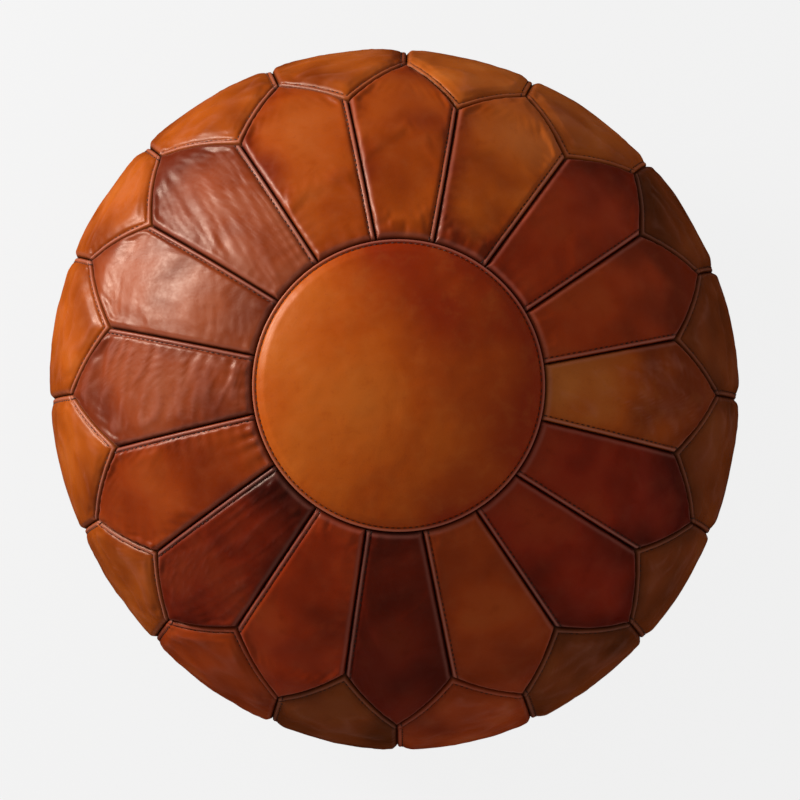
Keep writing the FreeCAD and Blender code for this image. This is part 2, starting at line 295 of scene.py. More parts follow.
def make_panels(corners):
    """Petals and side panels. Left and right are the seams at lower and higher bearings."""
    panels = []
    top_rim, low_rim = rim_of("top_disc"), base_rim()
    tip, low_tip = corners["tip"], corners["low_tip"]
    for i in range(PANELS):
        n = (i + 1) % PANELS
        for kind, low, rim, top in (
            ("top_petal", "", top_rim, True),
            ("bottom_petal", "low_", low_rim, False),
        ):
            start, junction = corners[low + "start"], corners[low + "junction"]
            sides = (
                rim_seam(start[i], start[n], *rim, top),
                bent_seam(junction[i], corners[low + "tip"][i], junction[n]),
                seam(start[i], junction[i]),
                seam(start[n], junction[n]),
            )
            panels.append(Panel(numbered(kind, i), sides, ("left",), PETAL_SIZE))
        sides = (
            bent_seam(low_tip[i - 1], corners["low_junction"][i], low_tip[i]),
            bent_seam(tip[i - 1], corners["junction"][i], tip[i]),
            seam(low_tip[i - 1], tip[i - 1]),
            seam(low_tip[i], tip[i]),
        )
        ridges = ("left", "top", "bottom")
        panels.append(Panel(numbered("side_panel", i), sides, ridges, SIDE_SIZE))
    return panels


def base_rim():
    """Centre and radius of the seam round the base, from its right half."""
    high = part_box("bottom_disc_right")[1]
    return Vector((0, 0, 0)), high.x + HALF_CUT


def disc_rays(node):
    """A round panel as a polar grid, from its middle out to its edge."""
    centre, radius = rim_of(node)
    bearing = np.linspace(0, 2 * math.pi, DISC_SPOKES + 1)
    reach = spaced(2 * DISC_RINGS)[DISC_RINGS:] * 2 - 1
    spot = [rim_point(bearing, centre, radius * share, True) for share in reach]
    return unit(np.stack(spot, 1))


# ---------------------------------------------------------------- cloth


def grid_faces(across, along, first=0):
    """Quads over a grid of across by along points, numbered along first."""
    i, j = np.meshgrid(np.arange(across - 1), np.arange(along - 1), indexing="ij")
    at = first + i * along + j
    return np.stack([at, at + along, at + along + 1, at + 1], -1).reshape(-1, 4)


def mesh_object(name, points, faces):
    """A new object whose mesh has these points and this list of faces."""
    mesh = bpy.data.meshes.new(name)
    mesh.from_pydata(points.reshape(-1, 3).tolist(), [], faces)
    obj = bpy.data.objects.new(name, mesh)
    bpy.context.scene.collection.objects.link(obj)
    return obj


def add_cloth(obj):
    """Light leather, held at its seams and pressed out from inside."""
    cloth = obj.modifiers.new("cloth", "CLOTH")
    settings = cloth.settings
    settings.quality = 4
    settings.mass = 0.25
    settings.tension_stiffness = 12
    settings.compression_stiffness = 12
    settings.shear_stiffness = 6
    settings.bending_stiffness = 2.5
    settings.tension_damping = 8
    settings.compression_damping = 8
    settings.shear_damping = 8
    settings.air_damping = 3
    settings.vertex_group_mass = "seams"
    settings.pin_stiffness = 1
    settings.use_pressure = True
    settings.uniform_pressure_force = 6.0
    settings.shrink_min = -0.012
    settings.effector_weights.gravity = 0
    cloth.collision_settings.use_collision = False
    cloth.point_cache.frame_start = 1
    cloth.point_cache.frame_end = SIM_FRAMES


def puff_panels(grids):
    """Inflates all panels at once as cloth held along their seams; returns their offsets."""
    points, faces, held, first = [], [], [], 0
    for grid in grids:
        across, along = grid.shape[:2]
        edge = np.zeros((across, along), bool)
        edge[[0, -1], :] = edge[:, [0, -1]] = True
        points.append(grid.reshape(-1, 3))
        faces.append(grid_faces(across, along, first))
        held += (first + np.flatnonzero(edge)).tolist()
        first += across * along
    start = np.concatenate(points)
    obj = mesh_object("cloth_work", start, np.concatenate(faces).tolist())
    obj.vertex_groups.new(name="seams").add(held, 1.0, "REPLACE")
    add_cloth(obj)
    scene = bpy.context.scene
    for step in range(1, SIM_FRAMES + 1):
        scene.frame_set(step)
    evaluated = obj.evaluated_get(bpy.context.evaluated_depsgraph_get())
    puffed = np.empty(len(start) * 3, np.float32)
    evaluated.data.vertices.foreach_get("co", puffed)
    scene.frame_set(1)
    bpy.data.objects.remove(obj)
    offset = puffed.reshape(-1, 3).astype(float) - start
    outward = unit(start - HUB)
    dip = np.minimum((offset * outward).sum(1, keepdims=True), 0)
    offset -= dip * outward
    length = np.linalg.norm(offset, axis=1, keepdims=True)
    offset *= SIM_CAP * np.tanh(length / SIM_CAP) / np.maximum(length, 1e-9)
    split = np.cumsum([len(p) for p in points])[:-1]
    parts = np.split(offset, split)
    return [part.reshape(grid.shape) for part, grid in zip(parts, grids)]


def cubic_weights(positions, count):
    """Rows of Catmull-Rom weights that read a row of count samples at these positions."""
    index = np.clip(np.floor(positions).astype(int), 0, count - 2)
    t = positions - index
    weights = np.zeros((len(positions), count))
    rows = np.arange(len(positions))
    kernel = (
        (-1, -0.5 * t + t**2 - 0.5 * t**3),
        (0, 1 - 2.5 * t**2 + 1.5 * t**3),
        (1, 0.5 * t + 2 * t**2 - 1.5 * t**3),
        (2, -0.5 * t**2 + 0.5 * t**3),
    )
    for step, share in kernel:
        np.add.at(weights, (rows, np.clip(index + step, 0, count - 1)), share)
    return weights


def resample(grid, u, v):
    """Reads a grid with even steps at finer places u and v, each from 0 to 1."""
    across = cubic_weights(u * (grid.shape[0] - 1), grid.shape[0])
    along = cubic_weights(v * (grid.shape[1] - 1), grid.shape[1])
    return np.einsum("ai,bj,ijk->abk", across, along, grid)


# ---------------------------------------------------------------- relief


def along_polyline(points, line):
    """Distance from each point to a polyline, and how far along it the nearest place is."""
    a, step = line[:-1], np.diff(line, axis=0)
    length = np.linalg.norm(step, axis=1)
    start = np.concatenate([[0], np.cumsum(length)[:-1]])
    away = points[:, None] - a[None]
    t = np.clip(np.einsum("nmk,mk->nm", away, step) / length**2, 0, 1)
    gap = np.linalg.norm(away - t[..., None] * step[None], axis=2)
    nearest = gap.argmin(1)
    rows = np.arange(len(points))
    return gap[rows, nearest], start[nearest] + t[rows, nearest] * length[nearest]


def lumps(points, size, seed):
    """Smooth noise, about -1 to 1, with lumps of this size in metres, or sizes per axis."""
    places = points / np.asarray(size) + seed * 3.71
    return np.array([noise.noise(place) for place in places.tolist()])


def roll(gap, width, depth):
    """A rounded edge that rolls down to depth where the gap to the seam is nil."""
    t = 1 - np.clip(gap / width, 0, 1)
    return -depth * (1 - np.sqrt(1 - t * t))


def edge_relief(gap, ridged):
    """Height beside a seam: a rolled edge, or a welt, a stitched groove and a shoulder."""
    if not ridged:
        return roll(gap, EDGE_ROLL_W, SEAM_DEPTH)
    drop = (SEAM_DEPTH - GROOVE_DEPTH) * (1 - smooth(0, WELT_MIDDLE, gap))
    bottom = -GROOVE_DEPTH - drop
    arch = np.clip(1 - ((gap - WELT_MIDDLE) / WELT_HALF_W) ** 2, 0, 1)
    welt = bottom + (-WELT_DROP - bottom) * np.sqrt(arch)
    shoulder = roll(np.maximum(gap - RIDGE_W, 0), SHOULDER_W, GROOVE_DEPTH)
    return np.where(gap < RIDGE_W, welt, shoulder)


def edge_wear_and_highlight(gap, ridged):
    """How far the hide is rubbed pale, from 0 to 1: on a welt's crest, or a rolled edge. This is
    partly wear and partly a painted highlight where these edges catch the light.
    """
    middle, width, most = (WELT_MIDDLE, 0.0009, 1) if ridged else (0.0026, 0.0014, 0.4)
    return most * np.exp(-(((gap - middle) / width) ** 2))


def puckers(gap, along, ridged, height, seed):
    """Small folds that run in from a seam, uneven in height and spacing."""
    inner = np.maximum(gap - (RIDGE_W if ridged else 0.0008), 0)
    fade = smooth(0, 0.003, inner) * np.exp(-inner / 0.011)
    place = np.stack([along, np.zeros_like(along), np.zeros_like(along)], -1)
    warp = 0.005 * lumps(place, 0.025, seed)
    wave = np.sin(2 * math.pi * (along + warp) / PUCKER_PITCH)
    strength = 0.55 + 0.9 * lumps(place, 0.04, seed + 5)
    return height * fade * np.clip(strength, 0, 1.3) * wave


def creases(flat, angle, pitch, length, height, seed):
    """Long soft folds at an angle to the panel's width, in the panel's own plane."""
    a = math.radians(angle)
    along = flat[:, 0] * math.cos(a) + flat[:, 1] * math.sin(a)
    across = flat[:, 1] * math.cos(a) - flat[:, 0] * math.sin(a)
    place = np.stack([along, across, np.zeros_like(along)], -1)
    place[:, 1] += 0.3 * pitch * lumps(place, length / 3, seed + 2)
    fold = 1 - np.abs(lumps(place, (length, pitch, 1), seed)) * 2.2
    return height * np.clip(fold, 0, 1) ** 2


def normals_of(points, outward, wraps):
    """Unit normals of a grid surface, pointing outward."""
    if wraps:
        points = np.concatenate([points[-2:-1], points, points[1:2]])
    normal = np.cross(np.gradient(points, axis=0), np.gradient(points, axis=1))
    if wraps:
        normal = normal[1:-1]
    length = np.linalg.norm(normal, axis=-1, keepdims=True)
    normal = np.where(length > 1e-12, normal / np.maximum(length, 1e-12), unit(outward))
    return normal * np.sign((normal * outward).sum(-1, keepdims=True))


def pushed_out(surface, rays, normal, gap, height):
    """A surface raised by height along its normals, or along the rays beside a seam."""
    share = smooth(0, SEAM_LEAN_W, gap)[..., None]
    return surface + unit(rays * (1 - share) + normal * share) * height[..., None]


def close_skin(outer, inner, wraps):
    """Points and faces of a closed hide: outer face, inner face, and the cut edge between."""
    across, along = outer.shape[:2]
    count = across * along
    faces = grid_faces(across, along)
    i, j = np.arange(across - 1), np.arange(along - 1)
    borders = [(i * along, (i + 1) * along), ((i + 2) * along - 1, (i + 1) * along - 1)]
    if not wraps:
        borders += [(j + 1, j), ((across - 1) * along + j, (across - 1) * along + j + 1)]
    rim = [np.stack([a, a + count, b + count, b], -1) for a, b in borders[wraps:]]
    sheet = np.concatenate([faces, faces[:, ::-1] + count, *rim])
    return np.stack([outer, inner]), sheet.tolist()


def skin_object(name, outer, outward, wraps, attributes):
    """A closed hide panel as a mesh object, with its point attributes on both faces."""
    inner = outer - normals_of(outer, outward, wraps) * SKIN
    points, faces = close_skin(outer, inner, wraps)
    obj = mesh_object(name, points, faces)
    mesh = obj.data
    for label, values in attributes.items():
        layer = mesh.attributes.new(label, "FLOAT", "POINT")
        layer.data.foreach_set("value", np.tile(values.ravel(), 2).astype(np.float32))
    tidy_mesh(mesh)
    return obj


def tidy_mesh(mesh):
    """Merges doubled points, points every face outwards and shades smooth."""
    work = bmesh.new()
    work.from_mesh(mesh)
    bmesh.ops.remove_doubles(work, verts=work.verts, dist=2e-5)
    bmesh.ops.recalc_face_normals(work, faces=work.faces)
    work.to_mesh(mesh)
    work.free()
    mesh.shade_smooth()


# ---------------------------------------------------------------- hides


SIDE_NAMES = ("bottom", "top", "left", "right")
EDGE_SAMPLES = 48
RIDGE_SHADE = 1.6  # a seam's dark line is this much narrower on its ridged side
FACE_STARTS = (0.004, 0.014)  # creases and lumps fade in this far from a seam
HOLD_IN_RIDGE = 0.25  # share of the pillow that is left on a topstitched ridge
CREST_OF_FOLD = (0.0002, 0.0011)  # pale rub, part wear and part painted sheen, starts and is full at these heights of a fold
FOLD_WEAR_AND_SHEEN = 0.2
UNEVEN = ((0.0005, 0.030, 0), (0.00018, 0.009, 1))  # height, size and seed of a face's lumps


def flat_places(points, rays):
    """Each point's place in the panel's own plane: across it and up it, in metres."""
    out = unit(rays.mean(0))
    up = unit(np.array([0, 0, 1.0]) - out * out[2]) if abs(out[2]) < 0.98 else np.array([0, 1.0, 0])
    across = np.cross(up, out)
    away = points - points.mean(0)
    return np.stack([away @ across, away @ up], -1)


def dye_and_light_of(points, places, look):
    """How light the hide's colour is, about 0 to 1: in clouds, leaning one way, and lighter round
    its middle highlight. The lean and the middle highlight are partly painted light and shade.
    """
    dye_and_light = 0.5 + look["cloud"] * lumps(points, look["patch"], look["seed"] + 7)
    dye_and_light += 0.4 * look["cloud"] * lumps(points, 0.4 * look["patch"], look["seed"] + 9)
    places = places / np.abs(places).max(0)
    dye_and_light += places @ np.array(look["dye_and_light_lean"])
    strength, *middle = look["middle_highlight"]
    return dye_and_light + strength * (0.35 - (places - middle) ** 2 @ np.array([1, 1.6]))


def build_hide(node, rays, edges, puff, look, wraps=False):
    """Makes one hide from its rays, edge curves and cloth offsets; returns its groove lines."""
    shape = rays.shape[:2]
    base = on_cover(rays)
    flat_base = base.reshape(-1, 3)
    relief, fold, wear_and_highlight = np.zeros((3, len(flat_base)))
    hold, nearest, shade_gap = np.ones((3, len(flat_base)))
    ridge_gaps = {}
    for k, (label, curve, ridged, share) in enumerate(edges):
        samples = np.linspace(0, 1, EDGE_SAMPLES * (8 if label == "rim" else 1) + 1)
        gap, along = along_polyline(flat_base, on_cover(curve(samples)))
        relief = np.minimum(relief, share * edge_relief(gap, ridged))
        fold += puckers(gap, along, ridged, look["pucker"], look["seed"] + 11 * k)
        nearest = np.minimum(nearest, gap)
        shade_gap = np.minimum(shade_gap, gap * (RIDGE_SHADE if ridged else 1))
        wear_and_highlight = np.maximum(wear_and_highlight, look["rub_and_highlight"] * edge_wear_and_highlight(gap, ridged))
        if ridged:
            held = smooth(RIDGE_W, 3 * RIDGE_W, gap)
            hold = np.minimum(hold, HOLD_IN_RIDGE + (1 - HOLD_IN_RIDGE) * held)
            ridge_gaps[label] = gap.reshape(shape)
    inner = smooth(*FACE_STARTS, nearest)
    places = flat_places(flat_base, rays.reshape(-1, 3))
    for crease in look["creases"]:
        fold += creases(places, *crease, look["seed"]) * inner
    # Fold crests are rubbed pale: wear, with a painted sheen
    wear_and_highlight = np.maximum(wear_and_highlight, smooth(*CREST_OF_FOLD, fold) * FOLD_WEAR_AND_SHEEN)
    for height, size, extra in UNEVEN:
        fold += height * inner * lumps(flat_base, size, look["seed"] + extra)
    pillow = base * BASE_SCALE + puff * hold.reshape(*shape, 1)
    surface = HUB + out_of_round(pillow)
    normal = normals_of(surface, rays, wraps)
    height = (relief + fold).reshape(shape)
    surface = pushed_out(surface, rays, normal, nearest.reshape(shape), height)
    surface[..., 2] = np.maximum(surface[..., 2], 0)
    dye_and_light = dye_and_light_of(flat_base, places, look)
    marks = {"seam_gap": shade_gap * 1000, "wear_and_highlight": wear_and_highlight, "dye_and_light": dye_and_light}
    finish_hide(node, surface, rays, wraps, marks, look["tone"])
    return [groove_line(surface, normal, gap, label) for label, gap in ridge_gaps.items()]


def finish_hide(node, surface, rays, wraps, attributes, tone):
    """Turns a hide's surface into a piece on the cover, in place of its CAD node."""
    obj = skin_object("hide_" + node, surface, rays, wraps, attributes)
    dress(obj, node, hide_material(tone))


def dress(obj, node, material):
    """Gives a piece its looks and puts it on the cover, in place of its CAD node."""
    obj.data.materials.append(material)
    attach(obj, "cover")
    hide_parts(node)


def groove_line(surface, normal, gap, label):
    """Points and normals along the stitched groove, a ridge's width in from one side."""
    if label in ("left", "right"):
        surface, normal, gap = (a.swapaxes(0, 1) for a in (surface, normal, gap))
    if label in ("top", "rim", "right"):
        surface, normal, gap = (a[:, ::-1] for a in (surface, normal, gap))
    rows = np.flatnonzero((gap > RIDGE_W).any(1))
    past = np.maximum((gap[rows] > RIDGE_W).argmax(1), 1)
    before, after = gap[rows, past - 1], gap[rows, past]
    t = np.clip((RIDGE_W - before) / np.maximum(after - before, 1e-9), 0, 1)[:, None]
    points = surface[rows, past - 1] * (1 - t) + surface[rows, past] * t
    return points, normal[rows, past]


def coarse_grid(panel):
    """The evenly spaced grid that a panel is simulated on."""
    u, v = (np.linspace(0, 1, count + 1) for count in panel.counts(SIM_CELL))
    return HUB + on_cover(spread_rays(panel.sides, u, v)) * BASE_SCALE


def build_panels(panels):
    """Puffs and finishes every petal and side panel; returns groove lines by kind."""
    coarse = [coarse_grid(panel) for panel in panels]
    offsets = puff_panels(coarse)
    grooves = {kind: [] for kind in FINE_CELL}
    for panel, offset in zip(panels, offsets):
        kind = panel.node[:-3]
        u, v = (spaced(count) for count in panel.counts(FINE_CELL[kind]))
        rays = spread_rays(panel.sides, u, v)
        upright = ("left", "right") if kind == "side_panel" else ()
        edges = [
            (label, side, label in panel.ridges, SIDE_SEAM_SHARE if label in upright else 1)
            for label, side in zip(SIDE_NAMES, panel.sides)
        ]
        puff = resample(offset, u, v)
        grooves[kind] += build_hide(panel.node, rays, edges, puff, look_of(panel.node))
    return grooves


DISC_PUFF = 0.0048


def build_top_disc():
    """The round panel on top, with a topstitched ridge all round."""
    centre, radius = rim_of("top_disc")
    rays = disc_rays("top_disc")

    def rim(t):
        return unit(rim_point(2 * math.pi * t, centre, radius, True))

    spots = on_cover(rays)[..., :2] - np.array(centre)[:2]
    reach = np.linalg.norm(spots, axis=-1) / radius
    puff = rays * (DISC_PUFF * np.clip(1 - reach**2.5, 0, 1) ** 0.6)[..., None]
    look = look_of("top_disc")
    return build_hide("top_disc", rays, [("rim", rim, True, 1)], puff, look, wraps=True)


CHANNEL_HALF_W = 0.007
HEM_TOP_Z = 0.0076
HEM_FOLD_R = 0.0024
BASE_CELL = 0.0026
BASE_ROW = 0.0009
HEM_STEPS = 14


def base_half_grid(radius, side):
    """Points of half the round base and its upright hem, rows running out from the zip."""
    fold_x = CHANNEL_HALF_W + HEM_FOLD_R
    last = math.acos((fold_x + 0.002) / radius)
    bearing = np.linspace(-last, last, round(2 * last * radius / BASE_ROW))
    y = radius * np.sin(bearing)
    turn = np.linspace(0, math.pi / 2, HEM_STEPS)
    upright = np.linspace(HEM_TOP_Z, HEM_FOLD_R, HEM_STEPS)
    hem_x = np.concatenate([upright * 0 + CHANNEL_HALF_W, fold_x - HEM_FOLD_R * np.cos(turn)])
    hem_z = np.concatenate([upright, HEM_FOLD_R * (1 - np.sin(turn))])
    depth = radius - np.hypot(fold_x, y)[:, None]
    inward = radius * spaced(round(radius / BASE_CELL))[-2::-1] / depth
    inward = depth * (1 - np.exp(-inward)) / (1 - np.exp(-radius / depth))
    flat_x = np.sqrt(np.maximum((radius - inward) ** 2 - y[:, None] ** 2, fold_x**2))
    x = np.concatenate([np.broadcast_to(hem_x, (len(y), len(hem_x))), flat_x], 1)
    z = np.concatenate([np.broadcast_to(hem_z, (len(y), len(hem_z))), flat_x * 0], 1)
    points = np.stack([side * x, np.broadcast_to(y[:, None], x.shape), z], -1)
    return np.delete(points, HEM_STEPS, 1)


def build_base_half(node, side):
    """Half of the round base, with its edge folded up into a hem beside the zip."""
    radius = base_rim()[1] * BASE_SCALE
    surface = base_half_grid(radius, side)
    outward = np.zeros_like(surface)
    outward[..., 2] = -1
    outward[:, : HEM_STEPS + 3, 0] = -side * 1.5
    flat = np.hypot(surface[..., 0], surface[..., 1])
    rim_gap = radius - flat
    flat_gap = np.where(surface[..., 2] > 0.0001, 0, rim_gap)
    hem_gap = np.abs(surface[..., 0]) - CHANNEL_HALF_W
    hem_gap = np.where(surface[..., 2] > HEM_FOLD_R, 0, hem_gap)
    groove = np.exp(-(((hem_gap - 2 * RIDGE_W) / STITCH_GROOVE_W) ** 2))
    relief = edge_relief(rim_gap, True) - STITCH_GROOVE_DEPTH * groove
    normal = normals_of(surface, outward, False)
    surface = out_of_round(surface - HUB)
    surface = pushed_out(HUB + surface, unit(surface), normal, flat_gap, relief)
    surface[..., 2] = np.maximum(surface[..., 2], 0)
    dye_and_light = 0.5 + 0.8 * lumps(surface.reshape(-1, 3), 0.05, side)
    look = look_of(node)
    wear_and_highlight = look["rub_and_highlight"] * edge_wear_and_highlight(rim_gap, True)
    marks = {"seam_gap": rim_gap * 1000, "wear_and_highlight": wear_and_highlight, "dye_and_light": dye_and_light}
    finish_hide(node, surface, outward, False, marks, look["tone"])
    return [
        groove_line(surface, normal, flat_gap, "rim"),
        groove_line(surface, normal, hem_gap - RIDGE_W, "bottom"),
    ]


# ---------------------------------------------------------------- stitches


STITCH_PITCH = 0.0042
STITCH_HALF = 0.0015
STITCH_R = 0.00042
STITCH_SIDES = 6
# Along a stitch: how far from its middle, how thick, and how high
STITCH_STATIONS = (
    (-1, 0.3, -0.0007),
    (-0.75, 1, 0),
    (0, 1.1, 0.0003),
    (0.75, 1, 0),
    (1, 0.3, -0.0007),
)
SEAM_END_CLEAR = 0.004


def stitch_places(points, normals):
    """Centres, directions and normals of the stitches along one groove line."""
    length = np.concatenate([[0], np.cumsum(np.linalg.norm(np.diff(points, axis=0), axis=1))])
    count = int((length[-1] - 2 * SEAM_END_CLEAR) / STITCH_PITCH)
    if count < 2:
        return np.zeros((0, 3, 3))
    at = np.linspace(SEAM_END_CLEAR, length[-1] - SEAM_END_CLEAR, count)

    def read(places, values):
        return np.stack([np.interp(places, length, values[:, k]) for k in range(3)], -1)

    ahead = unit(read(at + STITCH_HALF, points) - read(at - STITCH_HALF, points))
    return np.stack([read(at, points), ahead, unit(read(at, normals))], 1)


def stitch_faces(count):
    """Faces of this many stitches, each a tube of rings with closed ends."""
    faces = []
    last = (len(STITCH_STATIONS) - 1) * STITCH_SIDES
    for ring in range(0, last, STITCH_SIDES):
        for k in range(STITCH_SIDES):
            a, b = ring + k, ring + (k + 1) % STITCH_SIDES
            faces.append((a, b, b + STITCH_SIDES, a + STITCH_SIDES))
    faces.append(tuple(reversed(range(STITCH_SIDES))))
    faces.append(tuple(range(last, last + STITCH_SIDES)))
    step = last + STITCH_SIDES
    return [tuple(v + i * step for v in face) for i in range(count) for face in faces]


def build_stitches(name, lines):
    """All the stitches of several groove lines as one piece: short arched lengths of thread."""
    places = np.concatenate([stitch_places(*line) for line in lines])
    centre, ahead, up = places[:, 0], places[:, 1], places[:, 2]
    side = unit(np.cross(ahead, up))
    rings = []
    for along, thick, lift in STITCH_STATIONS:
        middle = centre + ahead * along * STITCH_HALF + up * lift
        for angle in 2 * math.pi * np.arange(STITCH_SIDES) / STITCH_SIDES:
            out = side * math.cos(angle) + up * math.sin(angle)
            rings.append(middle + out * STITCH_R * thick)
    points = np.stack(rings, 1)
    points[..., 2] = np.maximum(points[..., 2], 0.0001)
    obj = mesh_object(name, points, stitch_faces(len(points)))
    tidy_mesh(obj.data)
    dress(obj, "seam_thread", thread_material())


# ---------------------------------------------------------------- stuffing and zip


STUFFING_INSET = 0.0115
STUFFING_FLOOR = 0.0052
WELL_TOP = 0.0136
WELL_HALF_W = 0.0185
WELL_HALF_LENGTH = 0.1125
WELL_SLOPE = 0.006
TUFT_HEIGHT = 0.0012
TUFT_SIZE = 0.022
TAPE_HALF = 0.00026
TAPE_CORD = 0.00012
TAPE_RIB = 0.00004
TAPE_RIBS = 9


def build_stuffing():
    """The wadding: one lumpy closed body just inside the hides, hollowed over the zip."""
    bearing = np.linspace(0, 2 * math.pi, 241)
    rise = np.linspace(-math.pi / 2, math.pi / 2, 141)
    turn, lift = np.meshgrid(bearing, rise, indexing="ij")
    rays = np.stack([np.cos(lift) * np.cos(turn), np.cos(lift) * np.sin(turn), np.sin(lift)], -1)
    points = on_cover(rays)
    tufts = lumps(points.reshape(-1, 3), TUFT_SIZE, 5).reshape(turn.shape)
    tufts[-1] = tufts[0]
    points -= rays * (STUFFING_INSET + TUFT_HEIGHT * tufts)[..., None]
    points = HUB + out_of_round(points)
    x, y = np.abs(points[..., 0]), np.abs(points[..., 1])
    well = 1 - smooth(WELL_HALF_W, WELL_HALF_W + WELL_SLOPE, x)
    well *= 1 - smooth(WELL_HALF_LENGTH, WELL_HALF_LENGTH + WELL_SLOPE, y)
    points[..., 2] = np.maximum(points[..., 2], STUFFING_FLOOR + (WELL_TOP - STUFFING_FLOOR) * well)
    obj = mesh_object("wadding", points, grid_faces(*turn.shape).tolist())
    # Marks the well behind the zip for a painted shade, dark brown
    painted_zip_shade = obj.data.attributes.new("painted_zip_shade", "FLOAT", "POINT")
    painted_zip_shade.data.foreach_set("value", well.ravel().astype(np.float32))
    tidy_mesh(obj.data)
    dress(obj, "stuffing", wadding_material())


def build_tape(node):
    """One zip tape: a thin woven strip with a corded edge beside its teeth."""
    low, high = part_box(node)
    inner, outer = (low.x, high.x) if low.x > 0 else (high.x, low.x)
    width = abs(outer - inner)
    steps = np.linspace(0, 1, 27), np.linspace(low.y, high.y, 301)
    across, y = np.meshgrid(*steps, indexing="ij")
    middle = (low.z + high.z) / 2
    cord = TAPE_CORD * np.exp(-(((across * width - 0.0008) / 0.0005) ** 2))
    rib = TAPE_RIB * np.cos(2 * math.pi * across * TAPE_RIBS)
    half = TAPE_HALF + cord + rib
    x = inner + (outer - inner) * across
    outer_face = np.stack([x, y, middle - half], -1)
    inner_face = np.stack([x, y, middle + half], -1)
    obj = mesh_object("woven_" + node, *close_skin(outer_face, inner_face, False))
    tidy_mesh(obj.data)
    dress(obj, node, tape_material())


def dress_metal():
    brass = brass_material()
    for node in ("zip_teeth_left", "zip_teeth_right", "zip_slider", "zip_pull", "zip_stops"):
        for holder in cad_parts[node].material_slots:
            holder.material = brass


# ---------------------------------------------------------------- looks


# Top petals, numbered anticlockwise from just above +X: tone, how the colour lightens across
# the petal and towards the disc (partly painted light and shade, following how the key falls on
# each petal), pucker height in metres, and creases as (angle in degrees, pitch, length, height)
LONG_CREASES = ((78, 0.0048, 0.09, 0.0005), (70, 0.010, 0.06, 0.0003))
CROSS_CREASES = ((-18, 0.009, 0.045, 0.0009), (-10, 0.004, 0.03, 0.0003))
FINE_CREASES = ((25, 0.004, 0.03, 0.0003),)
WAVY_CREASES = ((70, 0.010, 0.03, 0.0006), (15, 0.006, 0.03, 0.0004))
PETAL_LOOKS = (
    ("chestnut", (0.0, 0.6), 0.0003, ()),
    ("mahogany", (0.0, 0.2), 0.0003, ()),
    ("cognac", (-0.1, -0.7), 0.0004, ()),
    ("amber", (0.0, -0.1), 0.0003, ()),
    ("amber", (-0.2, -0.1), 0.0004, ()),
    ("plum", (0.0, 0.3), 0.0003, LONG_CREASES),
    ("russet", (0.2, 0.0), 0.0003, FINE_CREASES),
    ("sienna", (0.0, 0.0), 0.0009, CROSS_CREASES),
    ("rust", (0.0, -0.1), 0.0009, ()),
    ("burgundy", (0.0, -0.4), 0.0003, LONG_CREASES[:1]),
    ("mahogany", (0.0, -0.2), 0.0003, ()),
    ("espresso", (0.0, 0.0), 0.0004, FINE_CREASES),
    ("walnut", (0.0, 0.1), 0.0003, ()),
    ("oxblood", (0.0, 0.5), 0.0003, ()),
    ("oxblood", (0.0, 0.5), 0.0003, ()),
    ("olive", (0.0, 0.7), 0.0004, WAVY_CREASES),
)
SIDE_TONES = (
    "umber", "umber", "honey", "honey", "caramel", "caramel", "caramel", "caramel",
    "caramel", "caramel", "walnut", "umber", "walnut", "umber", "umber", "umber",
)
# How much each side panel's edges are rubbed pale; the stronger rub on sides 06 to 10, which face
# the key, is a painted highlight
SIDE_RUB_AND_HIGHLIGHT = (0.3,) * 5 + (0.7,) * 5 + (0.3,) * 6
BASE_TONES = ("oxblood", "cognac", "chestnut", "umber")
SIDE_CREASES = ((0, 0.016, 0.05, 0.0007),)


def look_of(node):
    """How one hide looks: its tone, its mottled colour with painted light, its wear with painted
    highlight, its puckers and creases, and its seed.
    """
    kind, _, number = node.rpartition("_")
    look = {"tone": "caramel", "dye_and_light_lean": (0, 0), "pucker": 0.0004, "creases": ()}
    look |= {"patch": 0.045, "cloud": 0.45, "seed": len(node), "middle_highlight": (0.15, 0, 0), "rub_and_highlight": 0.75}
    if number.isdigit():
        index = int(number) - 1
        look["seed"] = 3 * index + len(node)
        if kind == "top_petal":
            keys = ("tone", "dye_and_light_lean", "pucker", "creases")
            look |= dict(zip(keys, PETAL_LOOKS[index]))
        elif kind == "side_panel":
            look |= {"tone": SIDE_TONES[index], "creases": SIDE_CREASES, "rub_and_highlight": SIDE_RUB_AND_HIGHLIGHT[index]}
        else:
            look["tone"] = BASE_TONES[index % len(BASE_TONES)]
    elif kind == "bottom_disc":
        look["tone"] = "chestnut"
    else:
        look |= {"tone": "saddle", "patch": 0.06, "cloud": 0.28, "pucker": 0.00005}
        # The top disc's colour is painted light: lighter on its left, where the key falls, with a
        # painted highlight left of and below its middle
        look |= {"dye_and_light_lean": (-0.4, -0.05), "middle_highlight": (0.2, -0.1, -0.1), "seed": 46}
    return look


def linear(code):
    """A colour written as RRGGBB, as the shader's linear red, green, blue and alpha."""
    parts = [int(code[i : i + 2], 16) / 255 for i in (0, 2, 4)]
    return (*(p / 12.92 if p <= 0.04045 else ((p + 0.055) / 1.055) ** 2.4 for p in parts), 1)


# Each tone's deep, middle and worn colours
TONES = {
    "saddle": ("882400", "B04A04", "CC7628"),
    "honey": ("8A3A04", "B2560E", "D07E3A"),
    "caramel": ("762C00", "9E4604", "BE6A2E"),
    "amber": ("701E00", "983C00", "B25E24"),
    "cognac": ("701E00", "A24604", "C06A2C"),
    "rust": ("661A00", "882E00", "A4501C"),
    "chestnut": ("6A1C00", "982E00", "AE5420"),
    "mahogany": ("601400", "8E2600", "A84C1C"),
    "walnut": ("6E1E00", "963400", "AC5A24"),
    "oxblood": ("4E0A00", "821A00", "9C4016"),
    "plum": ("5E1C06", "843410", "A05E40"),
    "russet": ("601E06", "86360E", "A65E3C"),
    "sienna": ("5C1C0A", "82320E", "9C5636"),
    "burgundy": ("3C0600", "6A1600", "8C3814"),
    "espresso": ("460800", "661400", "7A2C0C"),
    "olive": ("702600", "A04200", "C07230"),
    "umber": ("4E1E02", "722E04", "8E4C1C"),
}


